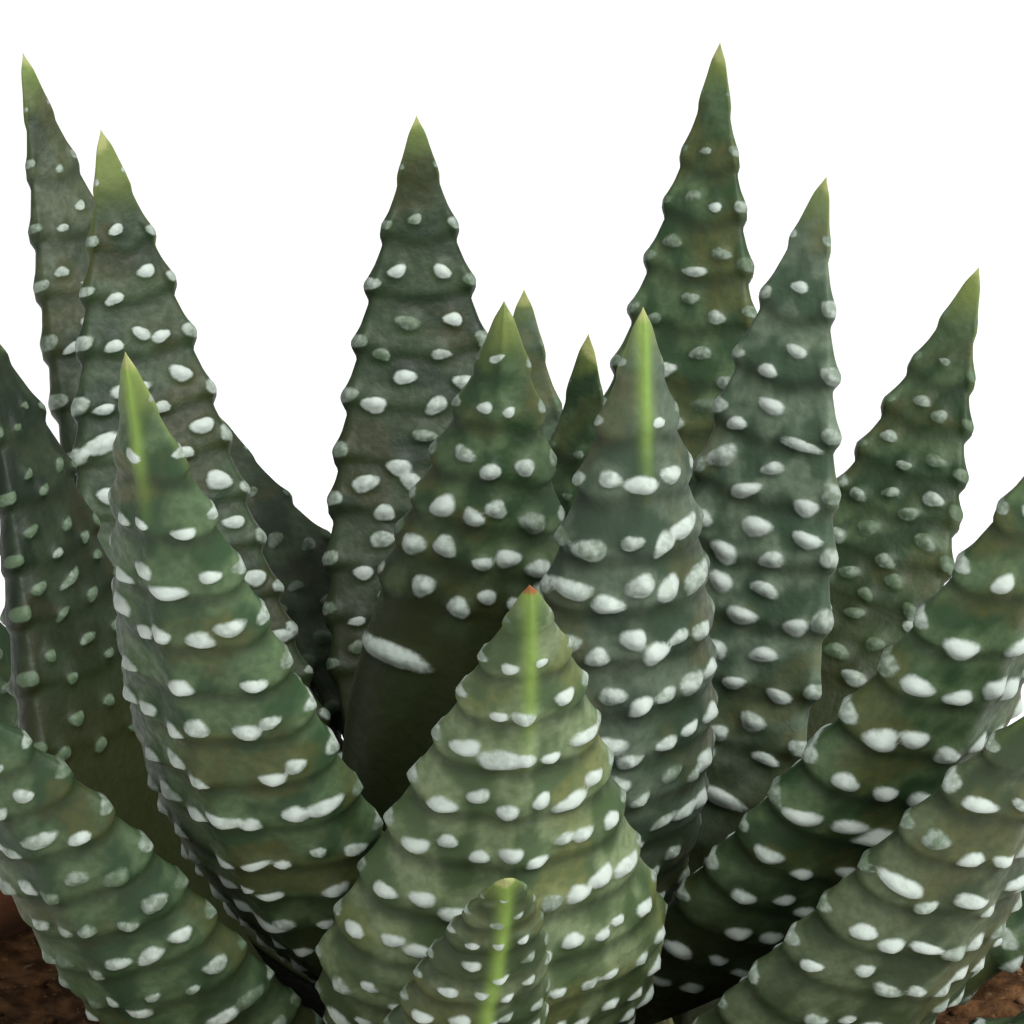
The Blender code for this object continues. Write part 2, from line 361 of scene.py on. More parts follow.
@dataclass(frozen=True)
class LeafFinish:
    """Waxy leaf skin: mottled green with olive patches, pale knobs, a bright keel, a yellowish tip and
    painted shade.
    """

    name: str
    dark: Colour
    light: Colour
    olive: Colour
    tip: Colour
    point: Colour = POINTS[Point.PALE]
    keel: Colour = (0.155, 0.245, 0.045)
    # Painted shade: the dark band under each row of knobs
    under: Colour = (0.009, 0.016, 0.005)
    cap: Colour = (0.36, 0.41, 0.365)
    # Colour of dim knobs: partly their own grey green, partly painted shade
    cap_shade: Colour = (0.058, 0.090, 0.048)
    # Painted shade on the lower part of each leaf
    root: Colour = (0.015, 0.019, 0.004)
    roughness: float = 0.46

    def make(self) -> bpy.types.Material:
        """Build the material from the skin's own values, with fine grain on Object coordinates."""
        made = Material(self.name)
        grain = made.noise(1500.0, 3.0)
        colour = made.mix(made.attribute("mottle"), self.dark, self.light)
        colour = made.mix(made.attribute("olive"), colour, self.olive)
        colour = made.mix(made.ramp(grain, 0.32, 0.70, top=0.45), colour, self.dark)
        # Under and root are painted shade: a dark band under each row, and the lower part of the leaf
        for part in ("under", "root", "tip", "keel", "point"):
            colour = made.mix(made.attribute(part), colour, getattr(self, part))
        # Knob whiteness: partly the knobs' own, partly painted shade on dim knobs
        chalk_and_shade = made.maths("ADD", made.attribute("white"), made.ramp(grain, 0.35, 0.65, top=0.25))
        white = made.mix(made.ramp(chalk_and_shade, 0.20, 1.10), self.cap_shade, self.cap)
        edge = made.maths("ADD", made.attribute("cap"), made.ramp(grain, 0.30, 0.70, top=0.10))
        colour = made.mix(made.ramp(edge, 0.36, 0.74), colour, white)
        rough = made.maths("ADD", made.ramp(grain, 0.3, 0.7, top=0.14), self.roughness)
        skin = made.bump(grain, 0.12 * MM, 0.6)
        made.set(base_color=colour, roughness=rough, normal=skin, specular_ior_level=0.22)
        return made.result

    def shaded(self, share: float, point: Point) -> "LeafFinish":
        """The finish of one leaf, its greens scaled partly for its own tone and partly as painted light and
        shade.

        Args:
            share: Multiplies the greens.
            point: Colour of the very tip.

        Returns:
            The finish, under a name of its own.
        """
        greens = (self.dark, self.light, self.olive)
        dark, light, olive = (tuple(share * part for part in green) for green in greens)
        name = f"{self.name}_{point.value}_{round(100 * share)}"
        return replace(self, name=name, dark=dark, light=light, olive=olive, point=POINTS[point])


GREENS = {
    Tone.GREY: LeafFinish("leaf_grey_green", dark=(0.032, 0.056, 0.032), light=(0.096, 0.130, 0.086),
                          olive=(0.078, 0.082, 0.034), tip=(0.135, 0.175, 0.055)),
    Tone.DEEP: LeafFinish("leaf_deep_green", dark=(0.019, 0.044, 0.016), light=(0.065, 0.104, 0.046),
                          olive=(0.060, 0.062, 0.017), tip=(0.130, 0.170, 0.042)),
    Tone.OLIVE: LeafFinish("leaf_olive_green", dark=(0.033, 0.056, 0.021), light=(0.107, 0.139, 0.070),
                           olive=(0.090, 0.098, 0.030), tip=(0.110, 0.165, 0.032)),
}


@dataclass(frozen=True)
class ClayFinish:
    """Fired clay: orange brown with turning lines, grit, a chalky bloom by the rim, and darker inside below
    the rim.
    """

    name: str = "terracotta"
    dark: Colour = (0.37, 0.140, 0.066)
    light: Colour = (0.50, 0.220, 0.115)
    bloom: Colour = (0.62, 0.50, 0.42)
    bloom_low: float = 60.0 * MM
    bloom_high: float = 88.0 * MM
    speck: Colour = (0.66, 0.40, 0.28)
    inside_dark: Colour = (0.070, 0.034, 0.015)
    roughness: float = 0.78

    def make(self) -> bpy.types.Material:
        """Build the material on Object coordinates."""
        made = Material(self.name)
        patches = made.ramp(made.noise(38.0, 4.0), 0.35, 0.65)
        lines = made.noise(60.0, 3.0, stretch=(0.15, 0.15, 14.0))
        grit = made.noise(2600.0, 3.0)
        colour = made.mix(patches, self.dark, self.light)
        colour = made.mix(made.ramp(lines, 0.35, 0.75, top=0.30), colour, self.dark)
        high = made.ramp(made.add("SeparateXYZ", "Z", {0: made.place}), self.bloom_low, self.bloom_high)
        cloud = made.ramp(made.noise(85.0, 5.0), 0.50, 0.74, top=0.55)
        colour = made.mix(made.maths("MULTIPLY", high, cloud), colour, self.bloom)
        colour = made.mix(made.ramp(grit, 0.52, 0.72, top=0.28), colour, self.speck)
        # Darker on the inside of the pot, below the rim
        colour = made.mix(made.attribute("inside"), colour, self.inside_dark)
        skin = made.bump(grit, 0.12 * MM, 0.6)
        skin = made.bump(lines, 0.25 * MM, 0.5, under=skin)
        rough = made.maths("ADD", made.ramp(grit, 0.2, 0.8, top=0.12), self.roughness)
        made.set(base_color=colour, roughness=rough, normal=skin, specular_ior_level=0.30)
        return made.result


@dataclass(frozen=True)
class SoilFinish:
    """Moist potting soil: dark reddish brown crumbs with paler grit."""

    name: str = "potting_soil"
    dark: Colour = (0.034, 0.016, 0.006)
    light: Colour = (0.130, 0.064, 0.027)
    grit: Colour = (0.20, 0.125, 0.070)

    def make(self) -> bpy.types.Material:
        """Build the material on Object coordinates and the grains' own value."""
        made = Material(self.name)
        crumbs = made.noise(520.0, 6.0)
        colour = made.mix(made.ramp(crumbs, 0.36, 0.68), self.dark, self.light)
        colour = made.mix(made.ramp(made.noise(1500.0), 0.62, 0.72, top=0.6), colour, self.grit)
        colour = made.mix(made.attribute("grain"), colour, self.grit)
        skin = made.bump(crumbs, 0.8 * MM, 0.8)
        skin = made.bump(made.noise(2600.0, 3.0), 0.15 * MM, 0.7, under=skin)
        made.set(base_color=colour, roughness=0.95, normal=skin, specular_ior_level=0.10)
        return made.result


@dataclass(frozen=True)
class StemFinish:
    """Pale fleshy stem, browned in patches where old leaves left their scars."""

    name: str = "crown_flesh"
    flesh: Colour = (0.16, 0.19, 0.07)
    scar: Colour = (0.10, 0.060, 0.028)

    def make(self) -> bpy.types.Material:
        """Build the material on Object coordinates."""
        made = Material(self.name)
        scars = made.ramp(made.noise(260.0, 4.0, stretch=(1.0, 1.0, 2.6)), 0.42, 0.62)
        colour = made.mix(scars, self.flesh, self.scar)
        skin = made.bump(made.noise(900.0, 3.0), 0.2 * MM, 0.6)
        made.set(base_color=colour, roughness=0.7, normal=skin)
        return made.result


@dataclass(frozen=True)
class FloorFinish:
    """Plain pale floor with the faintest mottle."""

    name: str = "pale_floor"
    light: Colour = (0.92, 0.92, 0.92)
    dark: Colour = (0.90, 0.90, 0.90)

    def make(self) -> bpy.types.Material:
        """Build the material on Object coordinates."""
        made = Material(self.name)
        colour = made.mix(made.ramp(made.noise(4.0), 0.4, 0.6), self.dark, self.light)
        made.set(base_color=colour, roughness=0.9, specular_ior_level=0.1)
        return made.result


def turned(radius: Array | float, angle: Array, z: Array | float) -> Array:
    """Points (r cos a, r sin a, z), in the shape that the three make together."""
    return np.stack(np.broadcast_arrays(radius * np.cos(angle), radius * np.sin(angle), z), axis=-1)


def closed(grid: Array, poles: list, flip: bool) -> tuple[Array, list[Array]]:
    """Points and faces of a tube of rings, closed at each end by a fan round a pole.

    Args:
        grid: Places (rings, points of a ring, 3).
        poles: Place of the first and of the last end's pole.
        flip: Turns the faces over, for rings that run anticlockwise as seen along the way they advance.

    Returns:
        The points, poles last, and the corner numbers of the tube's faces and of each end's triangles.
    """
    rings, around = grid.shape[:2]
    count, last = rings * around, (rings - 1) * around
    here = np.arange(around)
    after = (here + 1) % around
    ring = around * np.arange(rings - 1)[:, None]
    tube = np.stack([ring + here, ring + after, ring + around + after, ring + around + here], axis=-1)
    first_end = np.stack([after, here, np.full(around, count)], axis=1)
    last_end = np.stack([last + here, last + after, np.full(around, count + 1)], axis=1)
    groups = (tube.reshape(-1, 4), first_end, last_end)
    points = np.concatenate([grid.reshape(-1, 3), poles])
    return points, [faces[:, ::-1] if flip else faces for faces in groups]


def put(name: str, data: bpy.types.ID) -> bpy.types.Object:
    """Object in the scene, at the origin.

    Args:
        name: Its name.
        data: Its mesh, light or camera.

    Returns:
        The object.
    """
    made = bpy.data.objects.new(name, data)
    bpy.context.scene.collection.objects.link(made)
    return made


def add_mesh(name: str, points: Array, faces: list[Array], finish: bpy.types.Material,
             values: dict[str, Array]) -> bpy.types.Object:
    """Smooth object from arrays.

    Args:
        name: The object's name.
        points: Places (points, 3) in metres.
        faces: Arrays of corner numbers, each (faces, corners).
        finish: Its material.
        values: One number for each point, by attribute name.

    Returns:
        The object, at the origin.
    """
    mesh = bpy.data.meshes.new(name)
    mesh.from_pydata(points, [], [face for group in faces for face in group.tolist()])
    mesh.shade_smooth()
    for key, value in values.items():
        mesh.attributes.new(key, "FLOAT", "POINT").data.foreach_set("value", value.astype(np.float32))
    mesh.materials.append(finish)
    return put(name, mesh)


def stand_in(piece: bpy.types.Object, node: str) -> None:
    """Let a piece stand for a solid, and report it.

    Args:
        piece: The piece, which rides on the one body.
        node: The solid's node.
    """
    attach(piece, "root")
    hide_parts(node)
    mesh = piece.data
    mesh.calc_loop_triangles()
    log.info("%s: %d points, %d triangles", piece.name, len(mesh.vertices), len(mesh.loop_triangles))


@dataclass(frozen=True)
class Knob:
    """One knob: its place along the leaf in mm and round it, its sizes in mm, its tilt and its whiteness."""

    along: float
    angle: float
    half_length: float
    half_height: float
    rise: float
    tilt: float
    white: float


@dataclass
class Rosette:
    """The leaves, each a knobbed skin on a bent centre line. Sizes are mm unless they are shares.

    Knob and lens are a knob's half length, half height and rise on the outer and on the inner face. Keel
    spread is degrees, and the two scales are radians per metre.
    """

    fine_step: float = 0.28
    root_step: float = 0.6
    shown: int = 62
    spare: int = 34
    keel: float = 0.08
    keel_spread: float = 13.0
    stripe_half: float = 0.55
    mottle_scale: float = 1250.0
    olive_scale: float = 620.0
    blunt: float = 0.22
    blunt_most: float = 1.6
    blunt_end: float = 6.5
    ridge: float = 0.17
    shoulder: float = 0.40
    ridge_below: float = 0.60
    ridge_drop: float = 0.60
    # Strength, drop and spread of the painted shade band under each row
    band: float = 0.6
    shadow_band_drop: float = 0.9
    shadow_band_spread: float = 0.6
    skirt: float = 0.22
    skirt_length: float = 1.8
    skirt_above: float = 1.6
    skirt_below: float = 1.0
    knob: Place = (0.86, 0.68, 0.40)
    lens: Place = (0.92, 0.55, 0.30)
    tooth_rise: float = 0.12
    tooth_size: float = 0.62
    tooth_chalk: float = 0.55
    long_bar_down: float = 26.6
    long_bar_angle: float = math.radians(137)
    long_bar_size: tuple[float, float] = (3.1, 0.80)
    inner_gap: float = 2.0
    inner_stagger: float = 0.25
    last_row: float = 3.6
    tip_fade: float = 6.5
    miss_chance: float = 0.05
    sway: float = 0.26
    zigzag: float = 0.36

    def build(self) -> None:
        """Build and dress every leaf."""
        made = {}
        for number, leaf in enumerate(LEAVES):
            # Each leaf's greens are scaled by its shade: partly its own tone, partly painted light and shade
            finish = GREENS[leaf.tone].shaded(leaf.shade, leaf.point)
            if finish not in made:
                made[finish] = finish.make()
            stand_in(self.skin(leaf, number, made[finish]), leaf.name)

    @staticmethod
    def centre_line(leaf: Leaf) -> tuple[Array, Array]:
        """Bezier centre line from the seat on the crown to the tip.

        Args:
            leaf: The leaf.

        Returns:
            Places (samples, 3), and the length run at each.
        """
        seat_direction = direction(leaf.seat_heading, leaf.seat_lean)
        seat = CROWN_CENTRE + (CROWN_RADIUS + GAP) * seat_direction
        tip = leaf.reach * MM * direction(leaf.tip_heading, 90)
        tip[2] += SOIL_LEVEL + leaf.height * MM
        handle = HANDLE_SHARE * np.linalg.norm(tip - seat)
        first = seat + handle * seat_direction
        second = tip - handle * direction(leaf.tip_heading, leaf.tip_lean)
        t = np.linspace(0.0, 1.0, CURVE_SAMPLES + 1)[:, None]
        curve = (1 - t) ** 3 * seat + 3 * (1 - t) ** 2 * t * first + 3 * (1 - t) * t**2 * second + t**3 * tip
        return curve, running(np.linalg.norm(np.diff(curve, axis=0), axis=1))

    @staticmethod
    def half_width(leaf: Leaf, share: Array) -> Array:
        """Half the width: pinched at the seat, full, then tapered to the tip.

        Args:
            leaf: The leaf.
            share: Shares of the length.

        Returns:
            Metres at each share.
        """
        taper = np.clip((1 - share) / TAPER_SHARE, 0, 1)
        pinch = 1 - ROOT_PINCH * np.clip(1 - share / ROOT_SHARE, 0, 1) ** 2
        return 0.5 * leaf.width * MM * (1 - (1 - taper) ** leaf.fullness) * pinch

    def leaf_frame(self, leaf: Leaf, share: Array) -> tuple[Array, Array, Array]:
        """Directions of the section along the centre line.

        Sideways is level and square to the line, outward is square to both, and the leaf's roll turns the
        pair about the line.

        Args:
            leaf: The leaf.
            share: Shares of the length.

        Returns:
            Centre, sideways and outward at each share.
        """
        curve, along = self.centre_line(leaf)
        table = np.concatenate([curve, np.gradient(curve, axis=0)], axis=1)
        found = np.stack([np.interp(share * along[-1], along, column) for column in table.T], axis=1)
        centre, forward = found[:, :3], unit(found[:, 3:])
        heading = math.radians(leaf.tip_heading)
        level = np.array([-math.sin(heading), math.cos(heading), 0.0])
        side = unit(level - (forward @ level)[:, None] * forward)
        out = np.cross(side, forward)
        roll = math.radians(leaf.roll)
        cos, sin = math.cos(roll), math.sin(roll)
        return centre, side * cos - out * sin, out * cos + side * sin

    @staticmethod
    def depth(angle: Array) -> Array:
        """Depth of the unit section at each angle, one for each face."""
        return np.where(np.sin(angle) > 0, OUTER_DEPTH, INNER_DEPTH)

    def section(self, angle: Array) -> tuple[Array, Array]:
        """Unit section at each angle a: sideways cos(a), outward depth * sin(a) plus a bell for the keel."""
        keel = self.keel * np.exp(-(((np.degrees(angle) - 90) / self.keel_spread) ** 2))
        return np.cos(angle), self.depth(angle) * np.sin(angle) + keel

    def girth(self, angle: Array | float) -> Array | float:
        """Length run round the unit section from angle 0.

        Args:
            angle: One angle or more.

        Returns:
            Length run to each, in half widths.
        """
        table = np.linspace(0.0, 2 * math.pi, 1441)
        across, outward = self.section(table)
        run = running(np.hypot(np.diff(across), np.diff(outward)))
        return np.interp(angle, table, run)

    def ring_angles(self, face: Face) -> Array:
        """Angles of a ring's points, even along each face, with more on the face that shows.

        Args:
            face: The face that shows.

        Returns:
            The angles, from 0 up.
        """
        found = []
        for low, here in ((0.0, OUTER), (math.pi, INNER)):
            steps = self.shown if face is here else self.spare
            table = np.linspace(low, low + math.pi, 721)
            run = self.girth(table)
            found.append(np.interp(np.linspace(run[0], run[-1], steps + 1)[:-1], run, table))
        return np.concatenate(found)

    def ring_places(self, leaf: Leaf, length: float) -> Array:
        """Places of the rings, in root steps that shrink where the leaf shows.

        Args:
            leaf: The leaf.
            length: Its length, in mm.

        Returns:
            Place of each ring along the leaf, in mm.
        """
        if leaf.face is Face.HIDDEN:
            return np.linspace(0.0, length, round(length / self.root_step) + 1)[:-1]
        table = np.linspace(0.0, length, 400)
        step = self.root_step + (self.fine_step - self.root_step) * smooth_step(table / length, 0.10, 0.32)
        count = running(np.diff(table) / step[1:])
        return np.interp(np.arange(round(count[-1])), count, table)

    def row(self, leaf: Leaf, at: float, length: float, draw: np.random.Generator) -> list[Knob]:
        """Draw one row of knobs on both faces, margins first.

        Knobs stand about one gap apart, stepping up and down in turn with seeded sway. On the inner face
        they are flatter lenses in two staggered half rows. Some join their neighbour as a bar, more so low
        down. Knobs are smaller where the leaf is narrow and low down.

        Args:
            leaf: The leaf.
            at: The row's place along the leaf, in mm.
            length: Its length, in mm.
            draw: Its random numbers.

        Returns:
            The row's knobs.
        """
        found = []
        half = float(self.half_width(leaf, np.array([at / length]))[0]) / MM
        shrink = leaf.size * min(1.0, 0.30 + half / 7.0) * (0.85 if at < 0.45 * length else 1.0)
        bars = leaf.bars * (1.6 if at < 0.5 * length else 0.8)
        calm = min(1.0, half / 5.0)
        split = self.inner_stagger * leaf.pitch * calm
        outer = (0.0, leaf.gap, self.zigzag * calm, *self.knob)
        inner = (math.pi, self.inner_gap, split, *self.lens)
        for low, gap, stagger, long, high, rise in (outer, inner):
            table = np.linspace(low, low + math.pi, 181)
            run = self.girth(table) * half
            span = run[-1] - run[0]
            count = max(1, round(span / gap))
            spots = run[0] + span * (np.arange(count) + draw.uniform(-0.22, 0.22, count)) / count
            spots[0] = run[0]
            turn = draw.choice((-1, 1))
            for order, spot in enumerate(spots):
                missing, bar = draw.random() < self.miss_chance, draw.random() < bars
                grow, squat = draw.uniform(0.78, 1.12), draw.uniform(0.85, 1.2)
                tilt, sway = draw.normal(0, 0.22), draw.normal(0, self.sway)
                # Whiteness about the leaf's mean: partly the knob's own, partly painted shade
                white = float(np.clip(draw.normal(leaf.chalk_and_shade, 0.18), 0.15, 1.0))
                angle = float(np.interp(spot, run, table))
                size = grow * shrink
                if order == 0:
                    tooth = self.tooth_size * size
                    sizes = (tooth, tooth, self.tooth_rise * size)
                    found.append(Knob(at + 0.5 * sway, angle, *sizes, tilt, self.tooth_chalk * white))
                elif not missing:
                    stretch = draw.uniform(1.35, 1.75) if bar else 1.0
                    place_here = at + sway + turn * (-1) ** order * stagger
                    sizes = (long * size * stretch, high * size * squat, rise * size)
                    found.append(Knob(place_here, angle, *sizes, tilt, white))
        return found

    def scatter(self, leaf: Leaf, length: float, number: int) -> tuple[list[Knob], Array]:
        """Draw the leaf's knobs, row by row from the tip down, the rows closer together towards the root.

        Args:
            leaf: The leaf.
            length: Its length, in mm.
            number: Its place in the list, which seeds the draw.

        Returns:
            The knobs, and each row's place along in mm.
        """
        draw = np.random.default_rng(100 + number)
        steps = leaf.pitch * np.linspace(1.1, 0.8, 30) + draw.normal(0, 0.2, 30)
        rows = length - self.last_row - draw.uniform(0, 1) - running(steps)
        rows = rows[rows > leaf.bare * length]
        knobs = [knob for at in rows for knob in self.row(leaf, float(at), length, draw)]
        if leaf.long_bar:
            at = length - self.long_bar_down
            knobs.append(Knob(at, self.long_bar_angle, *self.long_bar_size, self.knob[2], 0.0, leaf.chalk_and_shade))
        return knobs, rows

    def relief(self, leaf: Leaf, knobs: list[Knob], rows: Array, along: Array, angle: Array,
               half: Array) -> tuple[Array, ...]:
        """Height of the skin over the plain section, and the caps on the knobs.

        The leaf swells towards each row in a straight ramp from the row above it, and drops steeply on the
        row's root side, low on the faces and high at the margins, where it makes the stepped outline. Each
        knob is a dome that stands just above the drop on a broad low skirt. Skirts join as the fourth root
        of the sum of their fourth powers. With r the distance from the knob's centre in its half sizes, made
        uneven by two waves round it, the dome falls smoothly from r = 0.1 to r = 1.3 and the cap's value is
        1.5 - r. Where knobs meet, the highest counts. Under each row runs a band of painted shade, a bell
        centred a shadow band drop below the drop.

        Args:
            leaf: The leaf.
            knobs: Its knobs.
            rows: Place of each row along the leaf, in mm.
            along: Place of each ring along the leaf, in mm.
            angle: Angle of each point of a ring.
            half: Half width at each ring, in mm.

        Returns:
            Height in mm, cap value, whiteness and painted shade band, each (rings, points of a ring).
        """
        shape = (len(along), len(angle))
        dome, skirt, cap, white, swell, under = (np.zeros(shape) for _ in range(6))
        drift = 0.30 * np.sin(3 * angle)
        for row in rows:
            away = along[:, None] - row + self.ridge_drop + drift
            ramp = np.clip(1 - away / leaf.pitch, 0, 1)
            swell = np.maximum(swell, np.where(away > 0, ramp, np.exp(-((away / self.ridge_below) ** 2))))
            # Painted shade: a dark band under each row
            under = np.maximum(under, np.exp(-(((away + self.shadow_band_drop) / self.shadow_band_spread) ** 2)))
        run, whole = self.girth(angle), self.girth(2 * math.pi)
        starts = self.girth(np.array([knob.angle for knob in knobs]))
        for k, knob in enumerate(knobs):
            near = np.abs(along - knob.along) < 2.2 + knob.half_height + 0.5 * knob.half_length
            if not near.any():
                continue
            round_way = (run - starts[k] + whole / 2) % whole - whole / 2
            du = round_way * half[near, None]
            dv = (along[near] - knob.along)[:, None]
            cos, sin = math.cos(knob.tilt), math.sin(knob.tilt)
            u, v = (du * cos + dv * sin) / knob.half_length, (dv * cos - du * sin) / knob.half_height
            turn = np.arctan2(v, u)
            uneven = 1 + 0.07 * np.sin(2 * turn + 5.1 * k) + 0.08 * np.sin(3 * turn + 2.3 * k)
            r = np.hypot(u, v) * uneven
            dome[near] = np.maximum(dome[near], knob.rise * smooth_step(r, 1.3, 0.1))
            reach = np.where(v > 0, self.skirt_above, self.skirt_below) / knob.half_height
            skirt[near] += smooth_step(np.hypot(u / self.skirt_length, v / reach), 1.0, 0.0) ** 4
            value = np.clip(1.5 - r, 0.0, 1.0)
            white[near] = np.where(value > cap[near], knob.white, white[near])
            cap[near] = np.maximum(cap[near], value)
        margin = np.abs(np.cos(angle)) ** 6
        height = dome + self.skirt * np.minimum(skirt, 1.3) ** 0.25
        height += (self.ridge + self.shoulder * margin) * swell
        return height, cap, white, self.band * under

    def tints(self, leaf: Leaf, number: int, points: Array, share: Array, from_tip: Array,
              angle: Array, half: Array) -> dict[str, Array]:
        """Values that colour the skin.

        Mottle and olive are smooth steps of two fields of waves. Root is painted shade, a smooth step down
        the lowest part, with a wavy edge. Tip is a smooth step over the glow, and runs farther down the
        margins.
        Keel is a narrow bell about the keel that fades over the stripe. Point is the last 1 mm.

        Args:
            leaf: The leaf.
            number: Its place in the list, which seeds its waves.
            points: The skin's points, (rings, points of a ring, 3).
            share: Share of the length of each ring.
            from_tip: Distance of each ring from the tip, in mm.
            angle: Angle of each point of a ring.
            half: Half width at each ring, in mm.

        Returns:
            Arrays (rings, points of a ring) by name.
        """
        broad = waves(points, self.mottle_scale, seed=200 + number)
        patch = waves(points, self.olive_scale, seed=300 + number)
        down = from_tip[:, None]
        distance, at = down + 1.2 * broad, share[:, None] + 0.05 * broad
        degrees = np.degrees(angle)
        margin = np.exp(-((np.minimum(degrees % 180, 180 - degrees % 180) / 12.0) ** 2))
        aside = (self.girth(angle) - self.girth(math.pi / 2)) * half[:, None]
        stripe = np.exp(-((aside / self.stripe_half) ** 2))
        line = smooth_step(down, leaf.stripe + 4.0, 0.5 * leaf.stripe) if leaf.stripe else 0.0
        tip = 0.85 * smooth_step(distance, 1.35 * leaf.glow, 0.15 * leaf.glow)
        tip += 0.5 * margin * smooth_step(distance, 2.6 * leaf.glow, leaf.glow)
        return {
            "mottle": smooth_step(broad, -0.38, 0.42),
            "olive": 0.75 * smooth_step(patch, 0.05, 0.55),
            # Painted shade down the lower part of the leaf, reaching as far up as the bare share sets
            "root": 0.88 * smooth_step(at, 0.40 + 0.57 * leaf.bare, 0.05 + 0.88 * leaf.bare),
            "tip": np.clip(tip, 0.0, 0.92),
            "keel": 0.85 * stripe * line,
            "point": smooth_step(distance, 1.2, 0.5),
        }

    def skin(self, leaf: Leaf, number: int, finish: bpy.types.Material) -> bpy.types.Object:
        """One leaf: the section carried along the centre line, raised by the ridges and knobs.

        A point is centre + half * (across * side + outward * out) + height * normal, where the normal is
        the section's own and the section's depth grows towards the tip. The tip is blunted by a little more
        width, and the height fades over the tip, near the root and where the leaf is narrow.

        Args:
            leaf: The leaf.
            number: Its place in the list, which seeds what is drawn.
            finish: Its material.

        Returns:
            The skin, with the values that colour it.
        """
        curve, run = self.centre_line(leaf)
        length = run[-1] / MM
        along = self.ring_places(leaf, length)
        share, from_tip = along / length, length - along
        angle = self.ring_angles(leaf.face)
        blunt = self.blunt * MM * smooth_step(from_tip, 0.0, self.blunt_most)
        blunt *= smooth_step(from_tip, self.blunt_end, self.blunt_most)
        half = self.half_width(leaf, share) + blunt
        centre, side, out = self.leaf_frame(leaf, share)
        knobs, rows = self.scatter(leaf, length, number)
        height, cap, white, under = self.relief(leaf, knobs, rows, along, angle, half / MM)
        strength = smooth_step(from_tip, 0.8, self.tip_fade) * np.clip(share / 0.14, 0.35, 1.0)
        strength *= np.clip(half / MM / 3.2, 0.25, 1.0)
        height *= strength[:, None] * MM
        across, outward = self.section(angle)
        rounding = (1 + TIP_ROUNDING * share)[:, None]
        normal = unit(np.stack([np.cos(angle) * self.depth(angle), np.sin(angle)], axis=1))
        sideways = half[:, None] * across + height * normal[:, 0]
        outwards = half[:, None] * outward * rounding + height * normal[:, 1]
        grid = centre[:, None] + sideways[..., None] * side[:, None] + outwards[..., None] * out[:, None]
        values = self.tints(leaf, number, grid, share, from_tip, angle, half / MM)
        values["cap"] = cap * np.clip(half / MM / 1.4, 0, 1)[:, None]
        values["white"] = white
        # Painted shade band under the rows, faded out near the tip
        values["under"] = under * smooth_step(from_tip, 4.0, 9.0)[:, None]
        for key, value in values.items():
            values[key] = np.concatenate([value.ravel(), [value[0, 0], value[-1, 0]]])
        points, faces = closed(grid, [centre[0], curve[-1]], flip=True)
        return add_mesh(leaf.name + "_skin", points, faces, finish, values)


@dataclass
class Pot:
    """Round clay pot, turned from one profile. Sizes are metres."""

    height: float = 95.0 * MM
    foot_radius: float = 40.0 * MM
    neck_radius: float = 51.0 * MM
    rim_radius: float = 56.0 * MM
    mouth_radius: float = 51.5 * MM
    rim_height: float = 17.0 * MM
    wall: float = 3.8 * MM
    floor: float = 6.0 * MM
    edge: float = 1.4 * MM
    middle_ring: float = 0.6 * MM
    spacing: float = 3.0 * MM
    arc_steps: int = 5
    segments: int = 168
    wave_depth: float = 0.04 * MM
    wave_scale: float = 1.9 * MM
    inside_dark: float = 0.9
    inside_dark_top: float = 1.0 * MM
    inside_dark_full: float = 2.6 * MM

    def inner_radius(self, z: float) -> float:
        """Radius of the straight inside at a height."""
        low = self.foot_radius - self.wall
        return low + (self.mouth_radius - low) * (z - self.floor) / (self.height - self.floor)

    def straight(self, start: Array, end: Array) -> list[Array]:
        """Points in even steps from start, itself left out, to end."""
        steps = max(1, round(np.linalg.norm(end - start) / self.spacing))
        return [start + (end - start) * i / steps for i in range(1, steps + 1)]

    def rounded(self, corners: list[Place]) -> Array:
        """Profile with quadratic curves at its corners and even steps between them.

        Args:
            corners: Radius, z and rounding of each corner.

        Returns:
            Points (radius, z).
        """
        places = np.array(corners)[:, :2]
        points = [places[0]]
        for k in range(1, len(places) - 1):
            before, here, after = places[k - 1], places[k], places[k + 1]
            cut = corners[k][2]
            start = here + unit(before - here) * cut
            end = here + unit(after - here) * cut
            points += self.straight(points[-1], start)
            t = np.linspace(0, 1, self.arc_steps + 1)[1:, None]
            points += list((1 - t) ** 2 * start + 2 * (1 - t) * t * here + t**2 * end)
        return np.array(points + self.straight(points[-1], places[-1]))

    def build(self) -> None:
        """Turn the profile round the axis: (r cos a, r sin a, z), with faint waves sunk into the wall."""
        band = self.height - self.rim_height
        profile = self.rounded([
            (self.middle_ring, 0.0, 0.0),
            (self.foot_radius, 0.0, self.edge),
            (self.neck_radius, band, 0.9 * MM),
            (self.rim_radius, band, self.edge),
            (self.rim_radius, self.height, self.edge),
            (self.mouth_radius, self.height, self.edge),
            (self.inner_radius(self.floor), self.floor, self.edge),
            (self.middle_ring, self.floor, 0.0),
        ])
        angle = np.linspace(0, 2 * math.pi, self.segments, endpoint=False)
        radius, z = profile[:, :1], profile[:, 1:]
        wall = (z > 2 * MM) & (z < band - 2 * MM)
        radius = radius - np.where(wall, self.wave_depth * (1 - np.cos(z / self.wave_scale)), 0.0)
        points, faces = closed(turned(radius, angle, z), [[0, 0, 0], [0, 0, self.floor]], flip=False)
        # The inside is darker from just below the rim down
        darkened = smooth_step(z[:, 0], self.height - self.inside_dark_top, self.height - self.inside_dark_full)
        inside = self.inside_dark * (np.arange(len(profile)) > len(profile) // 2) * darkened
        inside = np.concatenate([np.repeat(inside, self.segments), [0.0, self.inside_dark]])
        made = add_mesh("clay_pot", points, faces, ClayFinish().make(), {"inside": inside})
        stand_in(made, "pot")


